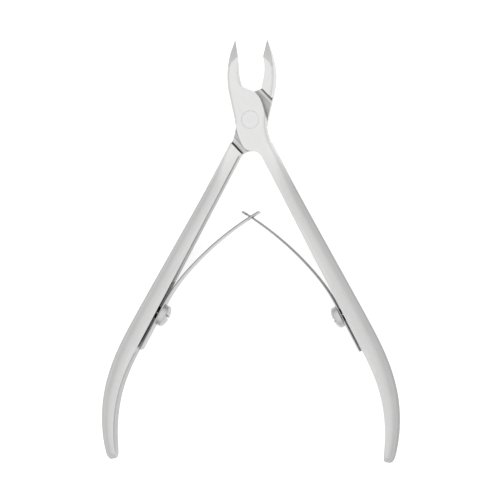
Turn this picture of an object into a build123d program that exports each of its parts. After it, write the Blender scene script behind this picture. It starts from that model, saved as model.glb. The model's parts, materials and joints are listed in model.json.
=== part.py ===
from build123d import *
import os
from math import sin, cos, tan, radians, degrees, acos

# Cuticle nipper with a lap joint and two interlocking leaf springs.
# Frame: the nipper lies flat. +Z is up through its front face, +Y runs along the middle to the jaws.
# The origin is on the pivot axis, in the plane of the joint's rear face. Sizes are in millimetres.
# The model stands with its handles open. Each arm is half of the opening away from the middle plane.

# ---- driving dimensions ----
joint_thick = 5.6          # both laps together, front face to rear face
blade_half_angle = 11.3    # each cutting edge from the middle plane, handles open
tip_y = 20.05              # point of the jaw
heel_y = 15.9              # start of the cutting edge
tip_drop = 1.25            # the point lies this far under the front face
belly_x = 5.80             # widest place of the jaws, each side
facet_x = 5.50             # outer end of the line where the sharpened facet starts
facet_y = 13.45
belly_radius = 20.0        # bulge of the jaw's outer side
flank_slope = 12.9         # straight flank between waist and bulge
point_slope = 17.9         # straight side between bulge and point
waist_x = 3.88             # narrowest place of the joint, each side
waist_y = -0.4
waist_blend = 3.0          # radius in which the jaw's side leaves the waist
waist_flare = 15.0         # below the waist the jaw's side turns out again this much
waist_lean = 10.0          # the handle's outer side ends above the waist, leaning out this much
edge_round = 0.8           # rounding of the outer edges, front and rear
inner_x = 3.53             # hollow of the jaw behind the cutting edge
inner_y = 12.3
heel_land = 0.35           # upright step under the cutting edge
lap_corner_x = 1.0         # corner between throat line and lap edge
throat_x = 3.0             # foot of the hollow, where the throat begins
throat_y = 9.0
throat_level = 7.3         # height of the throat line on the middle plane
throat_slope = 23.0        # slope of the throat line
throat_round = 0.8
throat_undercut = 0.15     # the throat line ends this far inside the foot of the hollow
lap_edge = [(0.24, -0.5), (-0.22, 1.3), (-0.68, 3.2), (-1.36, 5.14)]   # lap's edge: beyond the waist, height
rear_throat_drop = 0.5     # the rear arm's throat is ground this much deeper
jaw_rear_start = 6.5       # the jaw's rear side starts to rise here
jaw_rear_radius = 18.0
jaw_rear_angle = 17.0      # slope of the rear side towards the point
wall_foot_gap = 0.05       # the inner wall's foot stays this far outside the throat

shoulder_reach = 7.55      # from the pivot axis to each shoulder of the lap recess
shoulder_angle = 44.0      # direction of the shoulder's normal on the rear arm
lap_gap = 0.02             # between the two lap faces
relief_width = 0.3         # undercut at the foot of a shoulder
relief_depth = 0.35

pin_dia = 4.4
pin_clearance = 0.03       # radial, where the rear arm turns on the pin
pin_chamfer = 0.04

handle_angle = 27.8        # straight part of a handle from the middle plane
handle_inset = 1.65        # the flat inner face runs this far inside the pivot axis
handle_bend_at = 66.8      # along the handle, where the bend starts
handle_bend_radius = 38.8
crotch_level = 7.75        # underside of the lap below the pivot
crotch_radius = 3.2
crotch_foot_x = 0.25       # the lap's lower edge meets its underside this far towards its own handle
crotch_foot_rise = 0.35    # last stretch of the lap's lower edge falls this much
crotch_foot_run = 1.3      # over this length
root_length = 10.0         # along the handle, where the head ends and the handle starts

handle_past_bend = 25.8    # from the bend's start, round the bend, to the rounded end
handle_end = handle_bend_at + handle_past_bend
shank_of_handle = handle_bend_at - root_length

# Handle sections: place along the handle, depth, width beyond the joint's thickness,
# flat beside the inner face, half height of side wall
root_depth = 3.45
handle_sections = [
    (root_length, root_depth, 0.0, root_depth - edge_round, joint_thick / 2 - edge_round),
    (root_length + 3.0, 3.50, 0.0, 2.10, 1.60),
    (root_length + 7.0, 3.58, 0.0, 1.05, 0.80),
    (root_length + 11.5, 3.68, 0.06, 0.42, 0.25),
    (root_length + 0.35 * shank_of_handle, 3.88, 0.24, 0.30, 0.15),
    (root_length + 0.62 * shank_of_handle, 4.32, 0.62, 0.30, 0.15),
    (root_length + 0.88 * shank_of_handle, 4.66, 1.00, 0.30, 0.15),
    (handle_bend_at, 4.52, 1.14, 0.30, 0.15),
    (handle_bend_at + 8.2, 4.06, 1.20, 0.30, 0.15),
    (handle_end - 10.6, 3.58, 1.00, 0.30, 0.15),
    (handle_end - 5.1, 3.08, 0.50, 0.28, 0.14),
    (handle_end - 2.0, 2.72, -0.35, 0.26, 0.13),
]
# Rounded end: share of the way to handle_end, share of the last section's size, setback of the inner face
handle_tail = [(0.45, 0.92, 0.06), (0.80, 0.74, 0.22), (1.0, 0.46, 0.52)]

screw_before_bend = 13.1
screw_at = handle_bend_at - screw_before_bend   # along the handle, both spring screws
head_dia = 5.5
head_rim = 1.1             # straight part of the head
head_height = 2.25
driver_slot_width = 0.7
driver_slot_depth = 0.8
driver_slot_turn = 78.0    # from the handle's own direction
seat_margin = 1.5          # the flat seat runs past the leaf's foot and root
thread_gap = 0.01          # radial, between shank and its hole
shank_dia = 2.4
shank_depth = 3.1          # into the handle
hole_bottom_gap = 0.3
leaf_hole_clearance = 0.1  # radial, leaf hole around the shank

leaf_thick = 0.45
leaf_lift = 0.5            # a round pad under the screw holds the leaf's foot this far off the handle
pad_wall = 0.4
pad_dia = shank_dia + 2 * pad_wall
pad_root = 0.5             # the pad grows out of the handle from this far inside it
leaf_width_slotted = 4.4
leaf_width_tongue = 3.6
leaf_foot_at = screw_at + 10.1     # along the handle, free end of the foot
leaf_root_at = screw_at - 2.7      # along the handle, where the leaf lifts off
leaf_first_radius = 40.0
leaf_first_turn = 12.4
leaf_second_radius = 75.0
leaf_past_crossing = 2.5   # both leaves run past their crossing
neck_width = 1.5
neck_length = 2.4
window_side_clearance = 0.3
window_length = 2.2

block_margin = 4.0         # blocks that trim the head run this far past what they trim
cutter_size = 60.0         # blocks that cut right across the head are this large
leaf_cutter_depth = 6.0    # cutters of the tongue and the window, through the leaf
same_place = 0.01          # points nearer than this are one point

# ---- derived places ----
mid_z = joint_thick / 2
along = Vector(sin(radians(handle_angle)), -cos(radians(handle_angle)))
outward = Vector(cos(radians(handle_angle)), sin(radians(handle_angle)))
tip_x = tip_y * tan(radians(blade_half_angle))
heel_x = heel_y * tan(radians(blade_half_angle))


def handle_point(s, offset=0.0):
    """Point and outward direction on the right handle's inner face, s along it from beside the pivot."""
    start = outward * -handle_inset
    if s <= handle_bend_at:
        return start + along * s + outward * offset, outward
    centre = start + along * handle_bend_at - outward * handle_bend_radius
    turned = radians(handle_angle) - (s - handle_bend_at) / handle_bend_radius
    direction = Vector(cos(turned), sin(turned))
    return centre + direction * (handle_bend_radius + offset), direction


def section_wire(s, depth, swell, flat, wall, size=1.0, setback=0.0):
    """Handle section: flat inner face, short front and rear flats, rounded outer side; size scales it."""
    place, direction = handle_point(s, setback)
    depth, flat, wall = depth * size, flat * size, wall * size
    plane = Plane(origin=(place.X, place.Y, mid_z), x_dir=(direction.X, direction.Y, 0),
                  z_dir=(direction.Y, -direction.X, 0))
    high = (joint_thick + swell) * size / 2
    corner = [(0, -high), (0, high), (flat, high), (depth, wall), (depth, -wall), (flat, -high)]
    edges = [
        Line(corner[0], corner[1]),
        Line(corner[1], corner[2]),
        EllipticalCenterArc((flat, wall), depth - flat, high - wall, start_angle=0, arc_size=90),
        Line(corner[3], corner[4]),
        EllipticalCenterArc((flat, -wall), depth - flat, high - wall, start_angle=270, arc_size=90),
        Line(corner[5], corner[0]),
    ]
    return plane * make_face(Curve() + edges)


def make_handle():
    """Right handle: a loft through the sections and a rounded end."""
    body = loft([section_wire(*row) for row in handle_sections])
    last = handle_sections[-1]
    tail = [section_wire(*last)]
    for share, size, setback in handle_tail:
        s = last[0] + (handle_end - last[0]) * share
        tail.append(section_wire(s, *last[1:], size=size, setback=setback))
    return body + loft(tail)


def outer_offset():
    """Distance of the handle root's outer side from the pivot axis, square to the handle."""
    return root_depth - handle_inset


def rounded_block(chain, far_corners):
    """Slab of the joint's thickness whose one side follows a smooth chain with rounded edges."""
    ends = [chain[0] @ 0, chain[-1] @ 1]
    corners = [ends[1]] + [Vector(*corner) for corner in far_corners] + [ends[0]]
    closing = [Line(corners[i], corners[i + 1]) for i in range(len(corners) - 1)]
    block = extrude(make_face(Curve() + chain + closing), joint_thick)
    middles = [edge @ 0.5 for edge in chain]

    def follows_chain(edge):
        middle = edge @ 0.5
        in_plan = Vector(middle.X, middle.Y)
        return min((in_plan - other).length for other in middles) < same_place

    return fillet([edge for edge in block.edges().filter_by(Plane.XY) if follows_chain(edge)], edge_round)


def jaw_side_block():
    """Everything to the right of the jaw's outer side, from beyond its point to below the handle's root."""
    flank = tan(radians(flank_slope))
    point_side = tan(radians(point_slope))
    rise = (tip_x + point_side * tip_y - waist_x + flank * waist_y) / (flank + point_side)
    corner = (-waist_x - flank * (rise - waist_y), rise)
    above = (-tip_x + point_side * block_margin, tip_y + block_margin)
    below = (-waist_x - tan(radians(waist_flare)) * block_margin, waist_y - block_margin)
    side = tip_y * 2
    chain = FilletPolyline(above, corner, (-waist_x, waist_y), below, radius=(belly_radius, waist_blend))
    return rounded_block(chain.edges(), [(-side, below[1]), (-side, -side), (side, -side), (side, above[1])])


def handle_side_block():
    """Everything to the left of the handle root's outer side, up past the waist."""
    gap = waist_x * outward.X + waist_y * outward.Y - outer_offset()
    radius = gap / (1 - outward.X)
    centre = Vector(waist_x + radius, waist_y)
    lower = centre - outward * radius
    lean = radians(waist_lean)
    upper = centre + Vector(-cos(lean), sin(lean)) * radius
    far = lower + along * 2 * root_length
    block_side = 2 * tip_y
    above = upper + Vector(sin(lean), cos(lean)) * 2 * tip_y
    chain = [Line(far, lower), ThreePointArc(lower, (waist_x, waist_y), upper), Line(upper, above)]
    return rounded_block(Curve(chain).edges(), [(-block_side, above.Y), (-block_side, far.Y)])


def head_outline(throat_cut):
    """Plan of jaw, lap and handle root of the arm whose jaw is on the left; wide on its outer sides."""
    root_in, _ = handle_point(root_length)
    root_out, _ = handle_point(root_length, root_depth + block_margin)
    # crotch arc between the level underside and the inner face
    corner_x = (-handle_inset + crotch_level * outward.Y) / outward.X
    half_turn = radians(90 - handle_angle) / 2
    crotch_start = Vector(corner_x - crotch_radius * tan(half_turn), -crotch_level)
    crotch_end = Vector(corner_x, -crotch_level) + along * crotch_radius * tan(half_turn)
    crotch_via = crotch_start + Vector(sin(half_turn), cos(half_turn) - 1) * crotch_radius
    # throat line
    fall = tan(radians(throat_slope))
    level = throat_level - throat_cut
    lap_top = Vector(lap_corner_x, level - fall * lap_corner_x)
    inner_foot = throat_x - throat_undercut
    throat_corner = Vector(-inner_foot, level + fall * inner_foot)
    lap_bottom = Vector(crotch_foot_x, -crotch_level)
    lap_curve = [(waist_x + out, y) for out, y in lap_edge]
    wide = belly_x + block_margin
    upper = [Vector(x, y) for x, y in lap_curve]
    lower = [point * -1 for point in upper]
    lower.append(lap_bottom + Vector(-crotch_foot_run, crotch_foot_rise))
    upper[-1] = upper[-1] - Vector(0, throat_cut / 2)
    edges = [
        Line((-tip_x, tip_y), (-wide, tip_y)),
        Line((-wide, tip_y), (-wide, lower[0].Y)),
        Line((-wide, lower[0].Y), lower[0]),
        Spline(*lower, lap_bottom, tangents=[lower[1] - lower[0], Vector(1, 0)]),
        Line(lap_bottom, crotch_start),
        ThreePointArc(crotch_start, crotch_via, crotch_end),
        Line(crotch_end, root_in),
        Line(root_in, root_out),
        Line(root_out, (root_out.X, upper[0].Y)),
        Line((root_out.X, upper[0].Y), upper[0]),
        Spline(*upper, lap_top),
        Line(lap_top, throat_corner),
        Line(throat_corner, (-throat_x, throat_y)),
        ThreePointArc((-throat_x, throat_y), (-inner_x, inner_y), (-heel_x, heel_y - heel_land)),
        Line((-heel_x, heel_y - heel_land), (-heel_x, heel_y)),
        Line((-heel_x, heel_y), (-tip_x, tip_y)),
    ]
    face = make_face(Curve() + edges)
    corner = face.vertices().sort_by_distance((throat_corner.X, throat_corner.Y, 0))[0]
    return fillet(corner, throat_round)


def half_space(origin, x_dir, z_dir):
    """Big block on the +z_dir side of a plane."""
    plane = Plane(origin=origin, x_dir=x_dir, z_dir=z_dir)
    return plane * Box(cutter_size, cutter_size, cutter_size, align=(Align.CENTER, Align.CENTER, Align.MIN))


def blade_cuts():
    """What is ground off the left jaw: front facet, rising rear side, leaning inner wall."""
    # front facet: through the line from near the heel to the outer side, down to the point
    heel = Vector(-heel_x, heel_y - heel_land / 2, joint_thick)
    facet_side = Vector(-facet_x, facet_y, joint_thick)
    point = Vector(-tip_x, tip_y, joint_thick - tip_drop)
    facet = half_space(heel, facet_side - heel, (point - heel).cross(facet_side - heel))
    # rear side: an arc and then a straight slope
    turn = radians(jaw_rear_angle)
    arc_mid = (jaw_rear_start + jaw_rear_radius * sin(turn / 2), jaw_rear_radius * (1 - cos(turn / 2)))
    arc_end = (jaw_rear_start + jaw_rear_radius * sin(turn), jaw_rear_radius * (1 - cos(turn)))
    line_end = (2 * tip_y, arc_end[1] + (2 * tip_y - arc_end[0]) * tan(turn))
    side = Curve() + [
        ThreePointArc((jaw_rear_start, 0), arc_mid, arc_end),
        Line(arc_end, line_end),
        Line(line_end, (line_end[0], -block_margin)),
        Line((line_end[0], -block_margin), (jaw_rear_start, -block_margin)),
        Line((jaw_rear_start, -block_margin), (jaw_rear_start, 0)),
    ]
    rear = extrude(Plane.YZ * make_face(side), 2 * belly_x, dir=(-1, 0, 0))
    # inner wall: leans away from the cutting edge down to the throat
    edge_heel = Vector(-heel_x, heel_y, joint_thick)
    wall_foot = Vector(-throat_x - wall_foot_gap, throat_y, 0)
    wall = half_space(edge_heel, point - edge_heel, (wall_foot - edge_heel).cross(point - edge_heel))
    blade_only = Pos(0, throat_y, 0) * Box(
        cutter_size, cutter_size, cutter_size, align=(Align.CENTER, Align.MIN, Align.CENTER))
    return [facet, rear, wall & blade_only]


def make_arm(throat_cut):
    """Arm with its jaw on the left, its handle on the right and its lap in the front half; jaw unground."""
    head = extrude(head_outline(throat_cut), joint_thick)
    head = head & jaw_side_block() & handle_side_block()
    # recess for the other lap, between two shoulders, with an undercut along each shoulder
    band = Box(
        cutter_size, 2 * shoulder_reach, mid_z + lap_gap / 2, align=(Align.CENTER, Align.CENTER, Align.MIN))
    lie = Rot(0, 0, 90 - shoulder_angle)
    head = head - lie * band
    for sign in (-1, 1):
        groove = Pos(0, sign * (shoulder_reach - relief_width / 2), 0) * Box(
            cutter_size, relief_width, mid_z + relief_depth, align=(Align.CENTER, Align.CENTER, Align.MIN))
        head = head - lie * groove
    arm = head + make_handle()
    # flat seat for the leaf's foot, and the threaded hole for its screw
    seat_length = leaf_foot_at - leaf_root_at + 2 * seat_margin
    seat = Pos((leaf_foot_at + leaf_root_at) / 2 - screw_at, 0, 0) * Box(
        seat_length, 2 * joint_thick, joint_thick, align=(Align.CENTER, Align.CENTER, Align.MIN))
    pad = Cylinder(pad_dia / 2, leaf_lift + pad_root,
                   align=(Align.CENTER, Align.CENTER, Align.MIN))
    hole = Pos(0, 0, leaf_lift) * Cylinder(
        shank_dia / 2 + thread_gap, leaf_lift + shank_depth + hole_bottom_gap,
        align=(Align.CENTER, Align.CENTER, Align.MAX))
    arm = arm - screw_frame(0) * seat + screw_frame(-pad_root) * pad
    return arm - screw_frame(0) * hole


def screw_frame(lift):
    """Location on the right handle's inner face at the screw; local +Z points away from the handle."""
    place, direction = handle_point(screw_at)
    spot = place - direction * lift
    plane = Plane(origin=(spot.X, spot.Y, mid_z), x_dir=along, z_dir=(-direction.X, -direction.Y, 0))
    return plane.location


def make_screw():
    """Slotted pan-head screw of the right handle, seated on the leaf spring."""
    seat = leaf_lift + leaf_thick
    radius = head_dia / 2
    crown = head_height - head_rim
    profile = make_face(Curve() + [
        Line((0, 0), (radius, 0)),
        Line((radius, 0), (radius, head_rim)),
        EllipticalCenterArc((0, head_rim), radius, crown, start_angle=0, arc_size=90),
        Line((0, head_height), (0, 0)),
    ])
    head = revolve(Plane.XZ * profile, Axis.Z)
    slot = Rot(0, 0, driver_slot_turn) * Pos(0, 0, head_height) * Box(
        2 * head_dia, driver_slot_width, 2 * driver_slot_depth)
    shank = Pos(0, 0, -shank_depth - seat) * Cylinder(
        shank_dia / 2, shank_depth + seat, align=(Align.CENTER, Align.CENTER, Align.MIN))
    return screw_frame(seat) * (head - slot + shank)


def leaf_run():
    """Both ends of the straight foot on the middle line of the right handle's leaf spring."""
    stand = leaf_lift + leaf_thick / 2
    foot, _ = handle_point(leaf_foot_at, -stand)
    root, _ = handle_point(leaf_root_at, -stand)
    return foot, root


def turn_left(point, heading, radius, turn):
    """End point of an arc that bends further to the left; heading is in degrees from +Y to the left."""
    new = heading + turn
    move = Vector(-(cos(radians(heading)) - cos(radians(new))), sin(radians(new)) - sin(radians(heading)))
    return point + move * radius, new


def leaf_places():
    """Corner points and headings of the leaf's middle line, with the crossing on the middle plane."""
    foot, root = leaf_run()
    knee, heading = turn_left(root, handle_angle, leaf_first_radius, leaf_first_turn)
    # the second arc meets x = 0 after this turn
    level = cos(radians(heading)) - knee.X / leaf_second_radius
    cross_heading = degrees(acos(level))
    second_turn = cross_heading - heading
    crossing, _ = turn_left(knee, heading, leaf_second_radius, second_turn)
    past = degrees(leaf_past_crossing / leaf_second_radius)
    return {"foot": foot, "root": root, "knee": knee, "knee_heading": heading, "crossing": crossing,
            "cross_heading": cross_heading, "second_turn": second_turn + past}


def leaf_side(offset):
    """One long side of the leaf in plan, offset from the middle line; positive is towards the handle."""
    places = leaf_places()
    foot, root, total_turn = places["foot"], places["root"], places["second_turn"]
    base = outward * offset
    first = leaf_first_radius + offset
    second = leaf_second_radius + offset
    knee_side, _ = turn_left(root + base, handle_angle, first, leaf_first_turn)
    knee_via, _ = turn_left(root + base, handle_angle, first, leaf_first_turn / 2)
    end, _ = turn_left(knee_side, places["knee_heading"], second, total_turn)
    end_via, _ = turn_left(knee_side, places["knee_heading"], second, total_turn / 2)
    edges = [
        Line(foot + base, root + base),
        ThreePointArc(root + base, knee_via, knee_side),
        ThreePointArc(knee_side, end_via, end),
    ]
    return edges, foot + base, end


def make_leaf(width):
    """Leaf spring of the right handle at full width, with its screw hole."""
    outer, outer_foot, outer_end = leaf_side(leaf_thick / 2)
    inner, inner_foot, inner_end = leaf_side(-leaf_thick / 2)
    plan = make_face(Curve() + outer + inner + [Line(outer_foot, inner_foot), Line(outer_end, inner_end)])
    leaf = Pos(0, 0, mid_z - width / 2) * extrude(plan, width)
    hole = Cylinder(shank_dia / 2 + leaf_hole_clearance, 4 * (leaf_lift + leaf_thick))
    return leaf - screw_frame(0) * hole


def crossing_frame():
    """Location at the crossing; local +X runs along the leaf to its end, local +Z along the pivot axis."""
    crossing = leaf_places()["crossing"]
    heading = leaf_places()["cross_heading"]
    plane = Plane(origin=(crossing.X, crossing.Y, mid_z),
                  x_dir=(-sin(radians(heading)), cos(radians(heading)), 0), z_dir=(0, 0, 1))
    return plane.location


def make_tongue_leaf():
    """Leaf with a necked tongue that passes through the other leaf's window."""
    leaf = make_leaf(leaf_width_tongue)
    notch_height = leaf_width_tongue
    for sign in (-1, 1):
        notch = Pos(0, 0, sign * (neck_width / 2 + notch_height / 2)) * Box(
            neck_length, leaf_cutter_depth, notch_height)
        leaf = leaf - crossing_frame() * notch
    return leaf


def make_slotted_leaf():
    """Leaf with a window near its end, made for the right handle and mirrored later."""
    window = Box(window_length, leaf_cutter_depth, neck_width + 2 * window_side_clearance)
    return make_leaf(leaf_width_slotted) - crossing_frame() * window


def turn_over(shape):
    """Half turn about the nipper's middle line: moves a right-handle piece to the left handle."""
    return Pos(0, 0, joint_thick) * Rot(0, 180, 0) * shape


# ---- pieces ----
front_arm = make_arm(0.0) - Cylinder(pin_dia / 2, 3 * joint_thick)
rear_arm = turn_over(make_arm(rear_throat_drop)) - Cylinder(pin_dia / 2 + pin_clearance, 3 * joint_thick)
for cut in blade_cuts():
    front_arm = front_arm - cut
    rear_arm = rear_arm - mirror(cut, Plane.YZ)
pin = Cylinder(pin_dia / 2, joint_thick, align=(Align.CENTER, Align.CENTER, Align.MIN))
pin = chamfer(pin.edges().filter_by(GeomType.CIRCLE), pin_chamfer)

parts = {
    "front_arm": front_arm,
    "rear_arm": rear_arm,
    "pivot_pin": pin,
    "spring_tongue": make_tongue_leaf(),
    "spring_slotted": turn_over(make_slotted_leaf()),
    "spring_screw_front": make_screw(),
    "spring_screw_rear": turn_over(make_screw()),
}

os.makedirs("parts", exist_ok=True)
for name, shape in parts.items():
    export_step(shape, f"parts/{name}.step")
    print(name, "solids", len(shape.solids()), "volume", round(shape.volume, 3), shape.is_valid)

for label, value in leaf_places().items():
    print("leaf", label, value)
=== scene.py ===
# %% [markdown]
# # A cuticle nipper in satin steel
# A cuticle nipper is two steel arms crossed in a lap joint and turning on one pin. Two leaf springs, one
# screwed to each handle, hook into each other and hold the handles open. The solid shapes come from the
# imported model. This lesson gives them a ground and brushed finish and makes the springs again as thin strips.

# %% Load the frame
import json
import math

import bpy
import numpy as np
from mathutils import Matrix, Vector

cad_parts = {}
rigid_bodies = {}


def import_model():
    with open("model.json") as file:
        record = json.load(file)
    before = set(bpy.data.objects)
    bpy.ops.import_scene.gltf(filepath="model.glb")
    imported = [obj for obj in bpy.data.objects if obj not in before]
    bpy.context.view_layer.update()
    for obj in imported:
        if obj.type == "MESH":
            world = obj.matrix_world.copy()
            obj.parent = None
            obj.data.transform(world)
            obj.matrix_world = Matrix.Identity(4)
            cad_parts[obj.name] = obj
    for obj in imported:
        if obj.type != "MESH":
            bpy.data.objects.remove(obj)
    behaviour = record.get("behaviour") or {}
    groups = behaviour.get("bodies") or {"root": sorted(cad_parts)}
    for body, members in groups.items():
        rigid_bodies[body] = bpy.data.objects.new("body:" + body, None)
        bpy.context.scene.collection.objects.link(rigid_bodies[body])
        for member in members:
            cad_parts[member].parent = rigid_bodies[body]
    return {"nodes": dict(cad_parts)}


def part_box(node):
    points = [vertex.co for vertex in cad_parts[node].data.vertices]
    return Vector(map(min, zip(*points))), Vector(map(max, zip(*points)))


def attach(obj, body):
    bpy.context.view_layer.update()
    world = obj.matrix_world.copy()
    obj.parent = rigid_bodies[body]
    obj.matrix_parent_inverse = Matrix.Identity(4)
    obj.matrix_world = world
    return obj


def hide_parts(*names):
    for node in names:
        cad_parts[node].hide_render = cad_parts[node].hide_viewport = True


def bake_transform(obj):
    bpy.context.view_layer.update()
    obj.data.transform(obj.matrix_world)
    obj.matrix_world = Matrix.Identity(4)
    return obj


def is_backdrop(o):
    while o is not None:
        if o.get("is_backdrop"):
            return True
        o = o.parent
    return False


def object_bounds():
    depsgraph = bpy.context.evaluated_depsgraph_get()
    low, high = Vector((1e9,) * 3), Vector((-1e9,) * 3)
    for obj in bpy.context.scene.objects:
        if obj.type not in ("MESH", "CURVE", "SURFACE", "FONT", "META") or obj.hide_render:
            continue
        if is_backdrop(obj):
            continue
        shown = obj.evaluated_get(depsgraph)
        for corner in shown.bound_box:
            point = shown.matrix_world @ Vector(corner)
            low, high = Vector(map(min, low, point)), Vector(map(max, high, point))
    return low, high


for default_object in list(bpy.data.objects):
    bpy.data.objects.remove(default_object)
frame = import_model()
cad_low, cad_high = (list(corner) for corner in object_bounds())
MM = 0.001
print("model box in mm", [round(c / MM, 2) for c in cad_low], [round(c / MM, 2) for c in cad_high])

# %% [markdown]
# ## Sizes that the finish needs
# The brushing follows each handle, and the springs follow the handles' inner faces, so both need the line
# of a handle. It runs straight from beside the pivot at an angle to the middle line, and then bends inwards
# along an arc. It could be read off the mesh, but a line and an arc are exact and need only four sizes. The
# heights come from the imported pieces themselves.

# %% The line of a handle
HANDLE_ANGLE = math.radians(27.8)
HANDLE_INSET = 1.65 * MM
BEND_AT = 66.8 * MM
BEND_RADIUS = 38.8 * MM
ALONG = np.array([math.sin(HANDLE_ANGLE), -math.cos(HANDLE_ANGLE)])
OUTWARD = np.array([math.cos(HANDLE_ANGLE), math.sin(HANDLE_ANGLE)])
pin_low, pin_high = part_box("pivot_pin")
REAR_FACE, FRONT_FACE = pin_low.z, pin_high.z
MIDDLE = (REAR_FACE + FRONT_FACE) / 2


def along_and_across(points):
    """Place along the right handle and distance outside its inner face, for an array of points.

    Up to the bend both are dot products with the handle's own two directions. Past it, the distance is the
    radius from the bend's centre, and the place is the angle turned times the bend's radius.
    """
    start = -HANDLE_INSET * OUTWARD
    flat = points[:, :2] - start
    along, across = flat @ ALONG, flat @ OUTWARD
    centre = ALONG * BEND_AT - OUTWARD * BEND_RADIUS
    spoke = flat - centre
    turned = HANDLE_ANGLE - np.arctan2(spoke[:, 1], spoke[:, 0])
    bent = along > BEND_AT
    along = np.where(bent, BEND_AT + turned * BEND_RADIUS, along)
    across = np.where(bent, np.hypot(spoke[:, 0], spoke[:, 1]) - BEND_RADIUS, across)
    return along, across


print("joint thickness in mm", round((FRONT_FACE - REAR_FACE) / MM, 3))

# %% [markdown]
# ## Camera
# The nipper lies flat. The camera looks down on its front face from a few degrees to the right, so a little
# of the right-hand sides shows. A camera close by would spread the handles. A long lens from far away keeps
# them nearly free of perspective.

# %% Camera
VIEW_YAW = math.radians(8)
VIEW_ROLL = math.radians(0.3)
VIEW_DISTANCE = 0.8
VIEW_WIDTH = 0.125
SENSOR_WIDTH = 36
view_centre = Vector((-0.00025, -0.0325, MIDDLE))

camera_data = bpy.data.cameras.new("camera")
camera_data.sensor_width = SENSOR_WIDTH
camera_data.lens = SENSOR_WIDTH * VIEW_DISTANCE / VIEW_WIDTH
camera = bpy.data.objects.new("camera", camera_data)
bpy.context.collection.objects.link(camera)
turn = Matrix.Rotation(VIEW_YAW, 4, "Y") @ Matrix.Rotation(VIEW_ROLL, 4, "Z")
camera.matrix_world = Matrix.Translation(view_centre) @ turn @ Matrix.Translation((0, 0, VIEW_DISTANCE))
bpy.context.scene.camera = camera
print("lens in mm", round(camera_data.lens, 1))

# %% [markdown]
# ## Studio
# Polished steel shows what surrounds it. Single lamps would leave hard spots, so the light is a pale dome,
# brightest overhead and greyer towards the horizon. Flat faces mirror the bright top of the dome, and
# rounded sides mirror its grey rim, which is what draws the shape of a handle. The floor is matt and glows a
# little, so that it stays plain and pale.

# %% Dome of light
DOME_LOW, DOME_HIGH = 0.94, 1.28
DOME_TURN = 0.55
DOME_FADE = 0.35
WHITE = (1, 1, 1, 1)
scene = bpy.context.scene
scene.view_settings.view_transform = "Standard"
scene.view_settings.look = "None"


def make_dome():
    """World light that grows with height: low at the horizon, high overhead, half way at DOME_TURN."""
    world = bpy.data.worlds.new("studio_dome")
    scene.world = world
    world.use_nodes = True
    tree = world.node_tree
    direction = tree.nodes.new("ShaderNodeTexCoord")
    split = tree.nodes.new("ShaderNodeSeparateXYZ")
    ramp = tree.nodes.new("ShaderNodeMapRange")
    ramp.interpolation_type = "SMOOTHSTEP"
    ramp.inputs["From Min"].default_value = DOME_TURN - DOME_FADE
    ramp.inputs["From Max"].default_value = DOME_TURN + DOME_FADE
    ramp.inputs["To Min"].default_value = DOME_LOW
    ramp.inputs["To Max"].default_value = DOME_HIGH
    background = tree.nodes["Background"]
    tree.links.new(direction.outputs["Generated"], split.inputs[0])
    tree.links.new(split.outputs["Z"], ramp.inputs["Value"])
    tree.links.new(ramp.outputs["Result"], background.inputs["Strength"])
    background.inputs["Color"].default_value = WHITE


make_dome()
print("dome from", DOME_LOW, "to", DOME_HIGH)

# %% Floor
FLOOR_SIZE = 3.0
FLOOR_DROP = 0.05 * MM
FLOOR_GREY = (0.50, 0.50, 0.50, 1)
FLOOR_GLOW = 0.72
FLOOR_ROUGHNESS = 0.9


def make_floor(height):
    """Plain square floor at this height, its four corners half its size from under the nipper."""
    corner = np.array([[-1, -1], [1, -1], [1, 1], [-1, 1]]) * FLOOR_SIZE / 2
    mesh = bpy.data.meshes.new("floor")
    mesh.from_pydata([(x, y + view_centre.y, height) for x, y in corner], [], [(0, 1, 2, 3)])
    floor = bpy.data.objects.new("floor", mesh)
    bpy.context.collection.objects.link(floor)
    paint = bpy.data.materials.new("floor_paint")
    paint.use_nodes = True
    shader = paint.node_tree.nodes["Principled BSDF"]
    shader.inputs["Base Color"].default_value = FLOOR_GREY
    shader.inputs["Roughness"].default_value = FLOOR_ROUGHNESS
    shader.inputs["Emission Color"].default_value = WHITE
    shader.inputs["Emission Strength"].default_value = FLOOR_GLOW
    mesh.materials.append(paint)
    floor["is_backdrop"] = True


make_floor(cad_low[2] - FLOOR_DROP)
print("floor", FLOOR_DROP / MM, "mm under the nipper")

# %% [markdown]
# ## A small kit for metal
# Every finish here is steel, told apart by where its zones lie and how the belt or wheel ran over them.
# Blender builds a finish from nodes. Placing each one by hand is slow to read, so these helpers each make one
# node, or one small sum, and hand back its socket.

# %% Nodes and sums


def add_node(tree, kind, inputs=None, **settings):
    """New node with its settings made, and its inputs set to values or linked to other nodes' sockets."""
    node = tree.nodes.new(kind)
    for name, value in settings.items():
        setattr(node, name, value)
    for name, value in (inputs or {}).items():
        if isinstance(value, bpy.types.NodeSocket):
            tree.links.new(value, node.inputs[name])
        else:
            node.inputs[name].default_value = value
    return node


def math_node(tree, operation, first, second=0.0):
    """Socket of one sum of two numbers."""
    return add_node(tree, "ShaderNodeMath", {0: first, 1: second}, operation=operation).outputs[0]


def product(tree, *factors):
    """All the factors multiplied together."""
    result = factors[0]
    for factor in factors[1:]:
        result = math_node(tree, "MULTIPLY", result, factor)
    return result


def parts_of(tree, vector):
    """The X, Y and Z of a vector."""
    return add_node(tree, "ShaderNodeSeparateXYZ", {0: vector}).outputs


def spread(tree, value, low, high, from_low=0.3, from_high=0.7):
    """Straight ramp: low where the value is from_low, high where it is from_high, and flat outside them."""
    return add_node(tree, "ShaderNodeMapRange",
                    {"Value": value, "From Min": from_low, "From Max": from_high,
                     "To Min": low, "To Max": high}).outputs["Result"]


print("number helpers ready")

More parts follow.
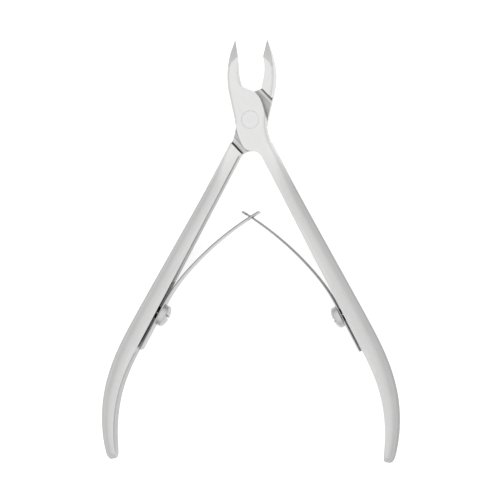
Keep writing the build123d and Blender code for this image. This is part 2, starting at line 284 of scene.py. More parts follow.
# %% [markdown]
# A zone is a mask: 1 inside it and 0 outside. Masks are multiplied to overlap them, and a mask lets a factor
# act inside its zone alone. Painted maps would do the same, but masks worked out from place and slope are
# sharp at every size and the same on both arms.

# %% Masks


def above(tree, value, limit):
    """1 where the value is over the limit, otherwise 0."""
    return math_node(tree, "GREATER_THAN", value, limit)


def below(tree, value, limit):
    """1 where the value is under the limit, otherwise 0."""
    return math_node(tree, "LESS_THAN", value, limit)


def between(tree, value, low, high):
    """1 where the value is within half the range of the range's middle, otherwise 0."""
    return add_node(tree, "ShaderNodeMath", {0: value, 1: (low + high) / 2, 2: (high - low) / 2},
                    operation="COMPARE").outputs[0]


def outside(tree, mask):
    """1 where the mask is 0, and 0 where it is 1."""
    return math_node(tree, "SUBTRACT", 1.0, mask)


def where(tree, mask, factor):
    """The factor where the mask is 1, and 1 elsewhere: 1 + mask x (factor - 1)."""
    return math_node(tree, "ADD", 1.0, math_node(tree, "MULTIPLY", mask,
                                                 math_node(tree, "SUBTRACT", factor, 1.0)))


print("masks ready")

# %% Places and grain


def object_place(tree):
    """Place in the nipper's own frame."""
    return add_node(tree, "ShaderNodeTexCoord").outputs["Object"]


def stored(tree, name, socket="Vector"):
    """A value that the piece's mesh carries under this name."""
    return add_node(tree, "ShaderNodeAttribute", attribute_name=name).outputs[socket]


def handle_place(tree):
    """Place across, along and above the handle, as an arm's mesh carries it."""
    return stored(tree, "handle_place")


def strip_place(tree):
    """Place across, along and through a leaf's strip, as its mesh carries it."""
    return stored(tree, "strip_place")


def stretched_noise(tree, coordinate, scale, detail=3.0):
    """Noise at coordinate x scale. A small scale along one axis draws it out into lines along that axis."""
    stretched = add_node(tree, "ShaderNodeVectorMath", {0: coordinate, 1: scale}, operation="MULTIPLY")
    noise = add_node(tree, "ShaderNodeTexNoise",
                     {"Vector": stretched.outputs[0], "Scale": 1.0, "Detail": detail, "Roughness": 0.6})
    return noise.outputs["Fac"]


print("places and grain ready")

# %% [markdown]
# ## Steel with a grain
# A belt leaves fine scratches along its run, slow clouds of light and dark, and edges rubbed smoother than the
# faces, which are also brighter, partly by a painted highlight. Corners and crevices get painted shade. All
# four come from one function, so every piece is made the same way and differs in its tint, its grain and its
# zones.

# %% Steel
CLOUD_SCALE = (260, 110, 260)
CLOUD_LIGHT = (0.97, 1.02)
CLOUD_ROUGHNESS = (0.92, 1.08)
GRAIN_ROUGHNESS = (0.85, 1.15)
GRAIN_BUMP = 0.35
EDGE_FACING = (0.80, 0.99)
EDGE_SMOOTHER = 0.35
# Painted shade in corners and crevices: how far the occlusion looks, how dark it paints, and over what
# openness.
CREVICE_REACH = 0.9 * MM
PAINTED_CREVICE_SHADE = 0.12
CREVICE_OPENNESS = (0.10, 0.62)
RAY_SAMPLES = 6


def broken_edge(tree, radius):
    """Normal of an edge rounded to this radius, and a mask of it that grows as it leaves the true normal."""
    rounded = add_node(tree, "ShaderNodeBevel", {"Radius": radius}, samples=RAY_SAMPLES).outputs[0]
    true_normal = add_node(tree, "ShaderNodeNewGeometry").outputs["Normal"]
    facing = add_node(tree, "ShaderNodeVectorMath", {0: rounded, 1: true_normal}, operation="DOT_PRODUCT")
    return rounded, spread(tree, facing.outputs["Value"], 1.0, 0.0, *EDGE_FACING)


def steel(name, tint, roughness, coordinate, grain_scale, grain_depth, contrast, edge_radius, zones=None,
          edge_wear_and_highlight=0.08):
    """Brushed steel: its tint times a level, which is (grain x clouds + edge wear and painted highlight) x
    zones x painted crevice shade.
    """
    material = bpy.data.materials.new(name)
    material.use_nodes = True
    tree = material.node_tree
    shader = tree.nodes["Principled BSDF"]
    shader.inputs["Metallic"].default_value = 1.0
    place = coordinate(tree)
    grain = stretched_noise(tree, place, grain_scale)
    clouds = stretched_noise(tree, place, CLOUD_SCALE, detail=2.0)
    level = product(tree, spread(tree, grain, 1 - contrast, 1 + contrast / 2),
                    spread(tree, clouds, *CLOUD_LIGHT))
    rough_low, rough_high = (roughness * share for share in GRAIN_ROUGHNESS)
    rough = product(tree, spread(tree, grain, rough_low, rough_high), spread(tree, clouds, *CLOUD_ROUGHNESS))
    rounded, edge = broken_edge(tree, edge_radius)
    # Edges: brighter, partly by a painted highlight, and rubbed smoother.
    level = math_node(tree, "ADD", level, product(tree, edge, edge_wear_and_highlight))
    rough = math_node(tree, "SUBTRACT", rough, product(tree, edge, roughness * EDGE_SMOOTHER))
    if zones:
        level, rough = zones(tree, level, rough)
    # Painted shade in corners and crevices, from ambient occlusion.
    openness = add_node(tree, "ShaderNodeAmbientOcclusion", {"Distance": CREVICE_REACH},
                        samples=RAY_SAMPLES).outputs["AO"]
    level = product(tree, level, spread(tree, openness, PAINTED_CREVICE_SHADE, 1.0, *CREVICE_OPENNESS))
    bump = add_node(tree, "ShaderNodeBump", {"Height": grain, "Strength": GRAIN_BUMP, "Distance": grain_depth,
                                             "Normal": rounded})
    colour = add_node(tree, "ShaderNodeVectorMath", {0: tint, "Scale": level}, operation="SCALE")
    tree.links.new(colour.outputs[0], shader.inputs["Base Color"])
    tree.links.new(rough, shader.inputs["Roughness"])
    tree.links.new(bump.outputs[0], shader.inputs["Normal"])
    return material


print("steel ready")

# %% [markdown]
# ## Zones of an arm
# A nipper's arms are forged, ground and then brushed. The finish, painted shade and highlights included, could
# be painted by hand. Here it is worked out from the place and slope of each point, which keeps it exact on both
# arms. First come the measures that tell the zones apart: height through the joint, slope, and distance from
# the pivot square to the shoulders.

# %% Measures of an arm
SHOULDER_REACH = 7.55 * MM
SHOULDER_TURN = math.radians(44)
JOINT_REACH = 12 * MM
LAP_FLOOR_REACH = 0.06 * MM
FLAT_SLOPE = 0.997
POLISH_FADE = (-17 * MM, -8 * MM)


def measures_of_arm(tree):
    """Sockets for the zones. The shoulders' own coordinate is the place turned back by their angle."""
    place = object_place(tree)
    true_normal = add_node(tree, "ShaderNodeNewGeometry").outputs["True Normal"]
    turned = add_node(tree, "ShaderNodeVectorRotate", {"Vector": place, "Angle": -SHOULDER_TURN},
                      rotation_type="Z_AXIS").outputs[0]
    arm = {"along": parts_of(tree, place)["Y"], "height": parts_of(tree, place)["Z"],
           "slope": parts_of(tree, true_normal)["Z"], "turned": turned,
           "to_right": parts_of(tree, turned)["X"]}
    arm["upright"] = math_node(tree, "ABSOLUTE", arm["slope"])
    arm["from_pivot"] = math_node(tree, "ABSOLUTE", arm["to_right"])
    arm["in_joint"] = between(tree, arm["along"], -JOINT_REACH, JOINT_REACH)
    arm["middle"] = between(tree, arm["height"], MIDDLE - LAP_FLOOR_REACH, MIDDLE + LAP_FLOOR_REACH)
    flat = above(tree, arm["upright"], FLAT_SLOPE)
    arm["lap_floor"] = product(tree, flat, arm["middle"], arm["in_joint"])
    arm["ground"] = product(tree, flat, outside(tree, arm["middle"]))
    arm["polished"] = spread(tree, arm["along"], 0.0, 1.0, *POLISH_FADE)
    return arm


print("shoulders in mm from the pivot", round(SHOULDER_REACH / MM, 2))

# %% [markdown]
# The jaws and joint were polished after brushing, so they are lighter than the handles, and their flat faces
# were ground finer still. The rounded sides of the handles get painted shade where they turn steeply, which
# draws their shape. The sharpened facets of the jaws get painted shade, darker towards the tip.

# %% Faces and facets
POLISH_LIGHT, GROUND_LIGHT = 1.14, 1.04
GROUND_FINENESS = 0.85
RIM_SLOPES = (0.30, 0.95)
# Painted shade on the steep rims of the handles.
RIM_SHADE, RIM_POLISHED = 0.76, 1.0
FACET_FROM, FACET_TO = 13.2 * MM, 19 * MM
FACET_SLOPES = (0.6, 0.998)
# Painted shade on the facets, darker towards the tip.
FACET_SHADE = (0.84, 0.72)


def face_factors(tree, arm):
    """Factors for polish and ground faces, painted shade on the rims round them, and painted shade on the
    facets, darker towards the tip.
    """
    rim = spread(tree, arm["upright"], 1.0, 0.0, *RIM_SLOPES)
    rim_shade = spread(tree, arm["polished"], RIM_SHADE, RIM_POLISHED, 0.0, 1.0)
    facet = product(tree, above(tree, arm["along"], FACET_FROM), between(tree, arm["slope"], *FACET_SLOPES))
    facet_shade = spread(tree, arm["along"], *FACET_SHADE, FACET_FROM, FACET_TO)
    return [where(tree, arm["polished"], POLISH_LIGHT), where(tree, arm["ground"], GROUND_LIGHT),
            where(tree, rim, rim_shade), where(tree, facet, facet_shade)]


print("facets in mm along", round(FACET_FROM / MM, 1), "to", round(FACET_TO / MM, 1))

# %% [markdown]
# The floor of the lap was ground by a wheel along the shoulder, leaving a line and fine stripes all over.
# Inside the line the floor gets painted shadow, darker towards the pivot. The groove at each shoulder's foot
# gets painted shade, the corner beside the right shoulder painted shadow, and the shoulder's own lip a
# painted highlight.

# %% Lap and groove
STRIPE_SCALE = (2600, 60, 0)
STRIPE_LIGHT = (0.78, 1.0)
STRIPE_NOISE = (0.38, 0.62)
WHEEL_EDGE = SHOULDER_REACH - 1.5 * MM
WHEEL_LINE, WHEEL_LINE_DARK = 0.2 * MM, 0.66
# Painted shadow on the lap floor inside the wheel's line, darker towards the pivot.
LAP_SHADOW_LEVELS = (0.60, 0.84)
LAP_SHADOW_FADE = (SHOULDER_REACH - 3.8 * MM, WHEEL_EDGE)
# The groove's darkness is painted shade.
GROOVE_WIDTH, GROOVE_DEPTH, GROOVE_SHADE = 0.3 * MM, 0.36 * MM, 0.12
GROOVE_RUN = (SHOULDER_REACH - 1.05 * GROOVE_WIDTH, SHOULDER_REACH + 0.01 * MM)
# Painted shadow on the floor beside the right shoulder.
CORNER_RUN, CORNER_SHADOW = (SHOULDER_REACH - 2.2 * GROOVE_WIDTH, SHOULDER_REACH), 0.40
# Painted highlight on the shoulder's lip.
LIP_WIDTH, LIP_HIGHLIGHT = 0.16 * MM, 1.12


def lap_factors(tree, arm):
    """Factors for the lap's floor and its painted shadow, painted shade in the groove, painted shadow in the
    corner and a painted highlight on the lip, by distance from the pivot.
    """
    stripes = stretched_noise(tree, arm["turned"], STRIPE_SCALE, detail=1.0)
    lap_shadow = spread(tree, arm["from_pivot"], *LAP_SHADOW_LEVELS, *LAP_SHADOW_FADE)
    wheel_line = between(tree, arm["from_pivot"], WHEEL_EDGE, WHEEL_EDGE + WHEEL_LINE)
    floor = product(tree, spread(tree, stripes, *STRIPE_LIGHT, *STRIPE_NOISE),
                    where(tree, wheel_line, WHEEL_LINE_DARK),
                    where(tree, below(tree, arm["from_pivot"], WHEEL_EDGE), lap_shadow))
    groove = product(tree, between(tree, arm["height"], MIDDLE - GROOVE_DEPTH, MIDDLE + GROOVE_DEPTH),
                     between(tree, arm["from_pivot"], *GROOVE_RUN), arm["in_joint"],
                     outside(tree, arm["middle"]))
    corner = product(tree, between(tree, arm["to_right"], *CORNER_RUN), arm["lap_floor"])
    lip = product(tree, between(tree, arm["from_pivot"], SHOULDER_REACH, SHOULDER_REACH + LIP_WIDTH),
                  arm["in_joint"], arm["ground"])
    return [where(tree, arm["lap_floor"], floor), where(tree, groove, GROOVE_SHADE),
            where(tree, corner, CORNER_SHADOW), where(tree, lip, LIP_HIGHLIGHT)]


print("groove in mm", round(GROOVE_WIDTH / MM, 2), "wide")

# %% [markdown]
# A handle's outer side gets painted shade where it turns away. Its inner wall has three painted marks: painted
# shade towards the front edge, a painted dark reflection in a line that starts black near the joint and fades
# along it, and painted shade that keeps the seat and the pad under the screw black under each leaf's foot.

# %% Walls of a handle
OUTER_FROM = 0.3 * MM
# Painted shade on the outer side, by slope.
OUTER_SLOPES, OUTER_SHADE = (0.20, 0.75), 0.68
WALL_FROM = 9.4 * MM
WALL_ACROSS = (-0.6 * MM, 0.02 * MM)
WALL_SLOPE = 0.4
# Painted shade on the inner wall towards the front edge.
WALL_EDGE_SHADE = 0.60
WALL_EDGE_HEIGHTS = (MIDDLE + 0.8 * MM, MIDDLE + 2.6 * MM)
# Painted dark reflection, in a line along the inner wall.
REFLECTION_LINE_DARK, REFLECTION_LINE_PALE = 0.22, 0.66
REFLECTION_LINE_FADE = (15 * MM, 23 * MM)
REFLECTION_LINE_ENDS = (58 * MM, 74 * MM)
REFLECTION_LINE_HEIGHTS = (MIDDLE + 0.3 * MM, MIDDLE + 1.0 * MM)
SEAT_RUN = (45.0 * MM, 64.2 * MM)
# Painted shade under each leaf's foot, on the seat and the pad.
SEAT_SHADE = 0.10
PAD_ACROSS = -0.005 * MM
PAD_SLOPE = 0.999


def handle_factors(tree, arm):
    """Factors of painted shade for the outer side, the inner wall, and the leaf's seat and pad, and a painted
    dark reflection in a line along the wall.
    """
    handle = parts_of(tree, handle_place(tree))
    across, along = handle["X"], handle["Y"]
    outer = product(tree, above(tree, across, OUTER_FROM), outside(tree, arm["polished"]))
    wall = product(tree, between(tree, across, *WALL_ACROSS), below(tree, arm["upright"], WALL_SLOPE),
                   above(tree, along, WALL_FROM))
    under_leaf = between(tree, along, *SEAT_RUN)
    pad = product(tree, below(tree, across, PAD_ACROSS), under_leaf, below(tree, arm["upright"], PAD_SLOPE))
    front_edge_shade = spread(tree, arm["height"], 1.0, WALL_EDGE_SHADE, *WALL_EDGE_HEIGHTS)
    dark_reflection_line = product(tree, wall, spread(tree, arm["height"], 0.0, 1.0, *REFLECTION_LINE_HEIGHTS),
                         spread(tree, along, 1.0, 0.0, *REFLECTION_LINE_ENDS))
    return [where(tree, outer, spread(tree, arm["upright"], OUTER_SHADE, 1.0, *OUTER_SLOPES)),
            where(tree, product(tree, wall, under_leaf), SEAT_SHADE), where(tree, pad, SEAT_SHADE),
            where(tree, wall, front_edge_shade),
            where(tree, dark_reflection_line, spread(tree, along, REFLECTION_LINE_DARK, REFLECTION_LINE_PALE, *REFLECTION_LINE_FADE))]


def arm_zones(tree, level, rough):
    """Level times every zone's factor, and ground faces finer. Factors of overlapping zones multiply."""
    arm = measures_of_arm(tree)
    factors = face_factors(tree, arm) + lap_factors(tree, arm) + handle_factors(tree, arm)
    return product(tree, level, *factors), product(tree, rough, where(tree, arm["ground"], GROUND_FINENESS))


print("seat of a leaf in mm along", [round(end / MM, 1) for end in SEAT_RUN])

# %% [markdown]
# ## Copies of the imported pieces
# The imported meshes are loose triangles, each face flat. A shown piece needs joined points, so that rounded
# sides shade smoothly, and sharp edges only where faces meet at an angle. Modelling the arms again would give
# the same shape with more risk, so the mesh is copied, merged and marked.

# %% Copy and mark a piece
SAME_POINT = 1e-7
SHARP_ANGLE = math.radians(22)


def copy_of(node_name, piece_name):
    """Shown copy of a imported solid, its loose faces joined, its flat and rounded faces shaded apart."""
    mesh = frame["nodes"][node_name].data.copy()
    mesh.name = piece_name
    piece = bpy.data.objects.new(piece_name, mesh)
    bpy.context.collection.objects.link(piece)
    bpy.context.view_layer.objects.active = piece
    for other in bpy.context.selected_objects:
        other.select_set(False)
    piece.select_set(True)
    bpy.ops.mesh.customdata_custom_splitnormals_clear()
    bpy.ops.object.mode_set(mode="EDIT")
    bpy.ops.mesh.select_all(action="SELECT")
    bpy.ops.mesh.remove_doubles(threshold=SAME_POINT)
    bpy.ops.object.mode_set(mode="OBJECT")
    mesh.shade_smooth()
    mesh.set_sharp_from_angle(angle=SHARP_ANGLE)
    weighted = piece.modifiers.new("even_faces", "WEIGHTED_NORMAL")
    weighted.keep_sharp = True
    weighted.mode = "FACE_AREA"
    weighted.weight = 100
    return piece


def finish_with(piece, material):
    """The piece with this one material."""
    piece.data.materials.clear()
    piece.data.materials.append(material)


def read_all(items, name, columns, kind=np.float32):
    """One property of all a mesh's points, faces or corners, as rows of this many columns."""
    values = np.empty(len(items) * columns, kind)
    items.foreach_get(name, values)
    return values.reshape(-1, columns)


print("packed pieces", len(frame["nodes"]))

# %% Arms
ARM_TINT = (0.535, 0.535, 0.532)
ARM_GRAIN = (6500, 110, 6500)


def mark_handle_place(piece, side):
    """Stores each point's place across, along and above the handle; side is 1 for the right handle."""
    points = read_all(piece.data.vertices, "co", 3).astype(float)
    along, across = along_and_across(points * [side, 1, 1])
    place = np.stack([across, along, points[:, 2]], axis=1).astype(np.float32)
    attribute = piece.data.attributes.new("handle_place", "FLOAT_VECTOR", "POINT")
    attribute.data.foreach_set("vector", place.ravel())
    return place


arm_steel = steel("arm_satin", ARM_TINT, roughness=0.38, coordinate=handle_place, grain_scale=ARM_GRAIN,
                  grain_depth=0.006 * MM, contrast=0.035, edge_radius=0.07 * MM, zones=arm_zones,
                  edge_wear_and_highlight=0.02)
for body, side in (("front_arm", 1), ("rear_arm", -1)):
    arm = copy_of(body, body + "_forged")
    place = mark_handle_place(arm, side)
    finish_with(arm, arm_steel)
    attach(arm, body)
    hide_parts(body)
    reach = round(float(place[:, 1].max()) / MM, 1)
    print(arm.name, len(arm.data.polygons), "faces, reaches", reach, "mm along")

# %% [markdown]
# ## Pivot pin
# The pin is riveted and then ground flush with the joint, so it shows only as a thin ring and a slightly
# different grain. Its face is left with the fine circles of turning. Circles are the same noise again, read
# along the radius from the pin's own axis instead of along the handle.

# %% Pin
PIN_TINT = (0.63, 0.63, 0.63)
PIN_GRAIN = (6500, 1, 2500)


def around_axis(tree, centre, direction):
    """Coordinate (radius, 0, height) around an axis, so that noise in it makes turned circles.

    Height is the dot product of the place with the axis's direction. What is left of the place after taking
    height x direction away points straight out from the axis, and its length is the radius.
    """
    place = add_node(tree, "ShaderNodeVectorMath", {0: object_place(tree), 1: centre}, operation="SUBTRACT")
    along = add_node(tree, "ShaderNodeVectorMath", {0: place.outputs[0], 1: direction},
                     operation="DOT_PRODUCT")
    lift = add_node(tree, "ShaderNodeVectorMath", {0: direction, "Scale": along.outputs["Value"]},
                    operation="SCALE")
    flat = add_node(tree, "ShaderNodeVectorMath", {0: place.outputs[0], 1: lift.outputs[0]},
                    operation="SUBTRACT")
    radius = add_node(tree, "ShaderNodeVectorMath", {0: flat.outputs[0]}, operation="LENGTH")
    return add_node(tree, "ShaderNodeCombineXYZ",
                    {0: radius.outputs["Value"], 2: along.outputs["Value"]}).outputs[0]


pin_steel = steel("pin_ground", PIN_TINT, roughness=0.33,
                  coordinate=lambda tree: around_axis(tree, (0, 0, MIDDLE), (0, 0, 1)), grain_scale=PIN_GRAIN,
                  grain_depth=0.004 * MM, contrast=0.05, edge_radius=0.05 * MM)
pin = copy_of("pivot_pin", "pivot_pin_ground")
finish_with(pin, pin_steel)
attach(pin, "front_arm")
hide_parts("pivot_pin")
print("pin width in mm", round((pin_high.x - pin_low.x) / MM, 2))

# %% [markdown]
# ## Spring screws
# Each spring is held by a slotted screw with a low round head. Heads like this are turned on a lathe, so
# their grain runs in circles round the screw's own axis, which lies across the handle.

# %% Screws
SCREW_AT = 53.7 * MM
SCREW_TINT = (0.49, 0.49, 0.495)
SCREW_GRAIN = (7000, 1, 7000)


def screw_centre(side):
    """Where the screw's axis meets the handle's inner face: the handle's start plus SCREW_AT along it."""
    x, y = -HANDLE_INSET * OUTWARD + ALONG * SCREW_AT
    return (side * float(x), float(y), MIDDLE)


for body, side in (("front_arm", 1), ("rear_arm", -1)):
    node = "spring_screw_" + body.split("_")[0]
    axis = (side * float(OUTWARD[0]), float(OUTWARD[1]), 0.0)
    centre = screw_centre(side)
    turned_steel = steel(node + "_turned", SCREW_TINT, roughness=0.32,
                         coordinate=lambda tree, c=centre, a=axis: around_axis(tree, c, a),
                         grain_scale=SCREW_GRAIN, grain_depth=0.006 * MM, contrast=0.08,
                         edge_radius=0.10 * MM)
    screw = copy_of(node, node + "_turned")
    finish_with(screw, turned_steel)
    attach(screw, body)
    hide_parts(node)
    print(screw.name, "axis", [round(a, 3) for a in axis])

# %% [markdown]
# ## Leaf springs
# A leaf spring is a strip of hard rolled steel. Its foot stands off the handle on a low round pad under the
# screw. Past the foot it bends through two easy arcs to the middle, where one leaf's necked tongue passes
# through the other's window. The line comes first: where the leaf is, and which way it heads, at each length.

# %% Line of a leaf
LEAF_GAUGE = 0.45 * MM
LEAF_LIFT = 0.5 * MM
FOOT_LENGTH = 12.8 * MM
FOOT_AT = 63.8 * MM
FIRST_RADIUS, FIRST_TURN = 40 * MM, math.radians(12.4)
SECOND_RADIUS = 75 * MM
PAST_CROSSING = 2.5 * MM
FIRST_LENGTH = FIRST_RADIUS * FIRST_TURN


def arc_step(heading, radius, length):
    """Move along an arc that bends left: radius times the change of (cos, sin) of its heading."""
    new = heading + length / radius
    return radius * np.stack([np.cos(new) - np.cos(heading), np.sin(new) - np.sin(heading)], axis=-1)


def leaf_line(length):
    """Points and headings of the right leaf's middle line, at these lengths from the foot's free end.

    The line is three runs: a straight foot, a tight arc and a wide arc. Each point adds up how far it got
    along each run, so every length is worked out at once.
    """
    start = -HANDLE_INSET * OUTWARD + ALONG * FOOT_AT - OUTWARD * (LEAF_LIFT + LEAF_GAUGE / 2)
    foot = np.clip(length, 0, FOOT_LENGTH)
    first = np.clip(length - FOOT_LENGTH, 0, FIRST_LENGTH)
    second = np.clip(length - FOOT_LENGTH - FIRST_LENGTH, 0, None)
    points = start - ALONG * foot[:, None]
    points = points + arc_step(HANDLE_ANGLE, FIRST_RADIUS, first)
    points = points + arc_step(HANDLE_ANGLE + FIRST_TURN, SECOND_RADIUS, second)
    return points, HANDLE_ANGLE + first / FIRST_RADIUS + second / SECOND_RADIUS


# The wide arc meets the nipper's middle line where radius x change of cos(heading) makes up the knee's x.
knee_x = leaf_line(np.array([FOOT_LENGTH + FIRST_LENGTH]))[0][0, 0]
crossing_heading = math.acos(math.cos(HANDLE_ANGLE + FIRST_TURN) - knee_x / SECOND_RADIUS)
CROSSING_AT = FOOT_LENGTH + FIRST_LENGTH + (crossing_heading - HANDLE_ANGLE - FIRST_TURN) * SECOND_RADIUS
LEAF_LENGTH = CROSSING_AT + PAST_CROSSING
print("leaf length in mm", round(LEAF_LENGTH / MM, 2), "crossing at", round(CROSSING_AT / MM, 2))

# %% [markdown]
# A strip is a sheet first, so it is laid out as a grid, length by width. Cutting holes with booleans would
# leave ragged triangles that shade badly when the leaf bends. Here the rows of the grid are placed to suit
# the holes, and the cells inside them are simply left out.

# %% Rows of the grid
CELLS_ACROSS = 24
ROWS_BEFORE_HOLE, ROWS_ALONG, ROWS_AT_END = 18, 70, 9
EVEN_ROWS_END = 3 * MM
HOLE_RADIUS = 1.3 * MM
HOLE_AT = FOOT_AT - SCREW_AT
NECK_WIDTH, NECK_LENGTH = 1.5 * MM, 2.4 * MM
WINDOW_HEIGHT, WINDOW_LENGTH = 2.1 * MM, 2.2 * MM
CORNER_EASE = 0.2 * MM
WINDOW_EASE = 1.5 * MM


def smooth(t):
    """Smooth step from 0 to 1: t x t x (3 - 2t), with t held between 0 and 1."""
    t = np.clip(t, 0, 1)
    return t * t * (3 - 2 * t)


def lengths_of_grid(width):
    """Rows of the grid: square cells round the screw hole, rows on the window's ends, even rows between."""
    half = width / 2
    hole_rows = HOLE_AT + np.linspace(-half, half, CELLS_ACROSS + 1)
    neck_half = NECK_LENGTH / 2 + CORNER_EASE
    stops = [CROSSING_AT - EVEN_ROWS_END, CROSSING_AT - neck_half, CROSSING_AT - WINDOW_LENGTH / 2,
             CROSSING_AT + WINDOW_LENGTH / 2, CROSSING_AT + neck_half, LEAF_LENGTH]
    rows = [np.linspace(0, HOLE_AT - half, ROWS_BEFORE_HOLE), hole_rows,
            np.linspace(HOLE_AT + half, stops[0], ROWS_ALONG)]
    rows += [np.linspace(a, b, ROWS_AT_END) for a, b in zip(stops[:-1], stops[1:])]
    return np.unique(np.round(np.concatenate(rows), 9))


print("screw hole in mm from the free end", round(HOLE_AT / MM, 2))

# %% Pattern of a leaf
WINDOW_SHARE = 0.5


def crossing_shape(u, v, width, kind):
    """Heights of the grid's points: v x half the width, drawn in to a neck or spread round a window."""
    height = v * width / 2
    from_crossing = np.abs(u - CROSSING_AT)
    if kind == "tongue":
        closed = 1 - smooth((from_crossing - NECK_LENGTH / 2) / CORNER_EASE)
        return height * (1 - closed * (1 - NECK_WIDTH / width))
    bent = np.interp(v, [-1, -WINDOW_SHARE, WINDOW_SHARE, 1],
                     [-width / 2, -WINDOW_HEIGHT / 2, WINDOW_HEIGHT / 2, width / 2])
    near_window = 1 - smooth((from_crossing - WINDOW_LENGTH / 2) / WINDOW_EASE)
    return height + near_window * (bent - height)


def round_hole(u, height, width):
    """The points with the square rings round the screw hole eased into circles, and the hole's square half.

    A point's ring is the larger of its two distances from the hole's centre. Scaling it by ring over radius
    makes a circle of the ring, and a smooth step takes that away towards the strip's edges.
    """
    x, y = u - HOLE_AT, height
    ring = np.maximum(np.abs(x), np.abs(y))
    radius = np.maximum(np.hypot(x, y), 1e-9)
    cell = width / CELLS_ACROSS
    hole_ring = round(HOLE_RADIUS / cell) * cell
    inside = 1 - smooth((ring - hole_ring) / (width / 2 - hole_ring))
    round_off = ring / radius * (1 + (HOLE_RADIUS / hole_ring - 1) * inside)
    scale = np.where(ring < width / 2, 1 + inside * (round_off - 1), 1.0)
    return HOLE_AT + x * scale, y * scale, hole_ring


def leaf_sheet(width, kind):
    """Flat pattern of a leaf: length and height of each point of the grid, and which cells are kept."""
    rows = lengths_of_grid(width)
    u, v = np.meshgrid(rows, np.linspace(-1, 1, CELLS_ACROSS + 1), indexing="ij")
    u, height, hole_ring = round_hole(u, crossing_shape(u, v, width, kind), width)
    middle = (rows[:-1] + rows[1:]) / 2
    mid_v = (np.arange(CELLS_ACROSS) + 0.5) / CELLS_ACROSS * 2 - 1
    cu, cv = np.meshgrid(middle, mid_v, indexing="ij")
    kept = np.maximum(np.abs(cu - HOLE_AT), np.abs(cv) * width / 2) > hole_ring
    if kind == "window":
        kept &= (np.abs(cu - CROSSING_AT) > WINDOW_LENGTH / 2) | (np.abs(cv) > WINDOW_SHARE)
    return u, height, kept


print("window in mm", round(WINDOW_LENGTH / MM, 2), "by", round(WINDOW_HEIGHT / MM, 2))

# %% [markdown]
# The flat pattern is now carried along the leaf's line, like a ribbon laid on a curve. Solidify then gives
# the sheet its gauge, and Bevel breaks the sheared edges. Both are worked into the mesh.

# %% Strip of a leaf
EDGE_BREAK = 0.05 * MM
BREAK_SEGMENTS = 2
BREAK_ANGLE = math.radians(50)
STRIP_SHARP_ANGLE = math.radians(40)


def leaf_mesh(name, width, kind, side):
    """Mesh of a leaf: the pattern's length carried along the leaf's line, its height going straight up."""
    u, height, kept = leaf_sheet(width, kind)
    line, heading = leaf_line(u.ravel())
    points = np.column_stack([side * line[:, 0], line[:, 1], MIDDLE + height.ravel()])
    index = np.arange(u.size).reshape(u.shape)
    quads = np.stack([index[:-1, :-1], index[1:, :-1], index[1:, 1:], index[:-1, 1:]], axis=-1)[kept]
    if side < 0:
        quads = quads[:, ::-1]
    used, quads = np.unique(quads, return_inverse=True)
    mesh = bpy.data.meshes.new(name)
    mesh.from_pydata(points[used].tolist(), [], quads.reshape(-1, 4).tolist())
    attribute = mesh.attributes.new("strip_place", "FLOAT_VECTOR", "POINT")
    place = np.column_stack([height.ravel(), u.ravel(), np.zeros(u.size)])[used].astype(np.float32)
    attribute.data.foreach_set("vector", place.ravel())
    return mesh


def finished(piece):
    """The piece with its modifiers worked into its mesh."""
    graph = bpy.context.evaluated_depsgraph_get()
    mesh = bpy.data.meshes.new_from_object(piece.evaluated_get(graph))
    piece.modifiers.clear()
    piece.data = mesh
    return piece


print("gauge in mm", round(LEAF_GAUGE / MM, 2))

# %% [markdown]
# A rolled strip has two kinds of surface. Its faces keep the grey skin of the rolling mill, with painted shade
# on the back, where it faces the handle. Its edges are cut and rubbed bright, partly by a painted highlight,
# with a painted shadow on the side of the handle. The mesh has to say which is which, so each face stores the
# way it looks and each point its depth through the gauge.

# %% Marks on a leaf


def mark_faces(mesh, side):
    """Stores for each face which way it looks: 1 to the handle, -1 away from it, near 0 for the edges.

    This is the face's normal times the direction square to the strip at the face's own length along it.
    """
    starts = read_all(mesh.polygons, "loop_start", 1, np.int32)[:, 0]
    corners = read_all(mesh.loops, "vertex_index", 1, np.int32)[:, 0]
    normals = read_all(mesh.polygons, "normal", 3)
    places = read_all(mesh.attributes["strip_place"].data, "vector", 3)
    heading = leaf_line(places[corners[starts], 1].astype(float))[1]
    looks = side * normals[:, 0] * np.cos(heading) + normals[:, 1] * np.sin(heading)
    attribute = mesh.attributes.new("looks_to_handle", "FLOAT", "FACE")
    attribute.data.foreach_set("value", looks.astype(np.float32))


def mark_depth(mesh, side):
    """Stores each point's place through the strip's gauge, as the third part of its place on the strip.

    The place is the point's distance from the middle line, towards the handle.
    """
    points = read_all(mesh.vertices, "co", 3).astype(float)
    places = read_all(mesh.attributes["strip_place"].data, "vector", 3)
    line, heading = leaf_line(places[:, 1].astype(float))
    away = np.column_stack([side * points[:, 0], points[:, 1]]) - line
    places[:, 2] = away[:, 0] * np.cos(heading) + away[:, 1] * np.sin(heading)
    mesh.attributes["strip_place"].data.foreach_set("vector", places.ravel())


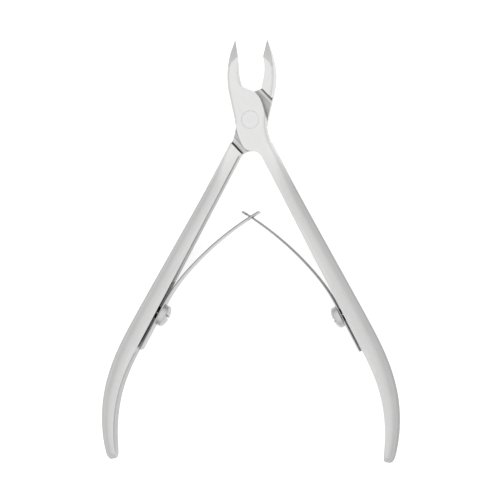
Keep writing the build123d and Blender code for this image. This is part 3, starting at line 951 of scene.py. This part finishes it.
def make_leaf(name, width, kind, side, material):
    """Leaf spring: its sheet, thickened to its gauge, with its sheared edges broken and its places stored."""
    piece = bpy.data.objects.new(name, leaf_mesh(name, width, kind, side))
    bpy.context.collection.objects.link(piece)
    piece.data.materials.append(material)
    gauge = piece.modifiers.new("gauge", "SOLIDIFY")
    gauge.thickness = LEAF_GAUGE
    gauge.offset = 0
    edges = piece.modifiers.new("broken_edges", "BEVEL")
    edges.width = EDGE_BREAK
    edges.segments = BREAK_SEGMENTS
    edges.limit_method = "ANGLE"
    edges.angle_limit = BREAK_ANGLE
    bpy.context.view_layer.update()
    finished(piece)
    mark_faces(piece.data, side)
    mark_depth(piece.data, side)
    piece.data.shade_smooth()
    piece.data.set_sharp_from_angle(angle=STRIP_SHARP_ANGLE)
    return piece


print("marks ready")

# %% Finish of a leaf
LOOKS_SQUARE = 0.8
# Painted shade on the back of the leaf, from its root to the crossing.
BACK_SHADE_AT_ROOT, BACK_SHADE_AT_CROSSING = 0.34, 0.70
# Painted shadow along the cut edge, on the side of the handle.
EDGE_BRIGHT, EDGE_SHADOW_DARK = 1.0, 0.12
EDGE_SHADOW_DEPTHS = (0.10 * LEAF_GAUGE, 0.26 * LEAF_GAUGE)
LEAF_TINT = (0.44, 0.44, 0.44)
LEAF_GRAIN = (6000, 220, 1)


def leaf_zones(tree, level, rough):
    """Painted shade on the back of the leaf, dark near its root and paler towards the crossing; a painted
    shadow along the cut edge on the handle's side.
    """
    looks = stored(tree, "looks_to_handle", "Fac")
    place = parts_of(tree, strip_place(tree))
    back = spread(tree, place["Y"], BACK_SHADE_AT_ROOT, BACK_SHADE_AT_CROSSING, FOOT_LENGTH, CROSSING_AT)
    edge_shadow = spread(tree, place["Z"], EDGE_BRIGHT, EDGE_SHADOW_DARK, *EDGE_SHADOW_DEPTHS)
    level = product(tree, level, where(tree, above(tree, looks, LOOKS_SQUARE), back),
                    where(tree, between(tree, looks, -LOOKS_SQUARE, LOOKS_SQUARE), edge_shadow))
    return level, rough


leaf_steel = steel("leaf_rolled", LEAF_TINT, roughness=0.30, coordinate=strip_place, grain_scale=LEAF_GRAIN,
                   grain_depth=0.005 * MM, contrast=0.07, edge_radius=0.04 * MM, zones=leaf_zones)
print("finish", leaf_steel.name)

# %% [markdown]
# ## Leaves
# A leaf is held by its screw at one end and meets the other leaf at the crossing. It can't ride on one body
# alone, or one of its ends would be left behind. Here each leaf is built, its transform worked into its mesh,
# and the imported spring hidden; the leaf is not put on any body.

# %% Leaves
TONGUE_WIDTH, SLOTTED_WIDTH = 3.6 * MM, 4.4 * MM
for name, node, width, kind, side, arm_body in (
        ("tongue_leaf_strip", "spring_tongue", TONGUE_WIDTH, "tongue", 1, "front_arm"),
        ("slotted_leaf_strip", "spring_slotted", SLOTTED_WIDTH, "window", -1, "rear_arm")):
    leaf = make_leaf(name, width, kind, side, leaf_steel)
    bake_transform(leaf)
    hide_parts(node)
    print(leaf.name, len(leaf.data.polygons), "faces")
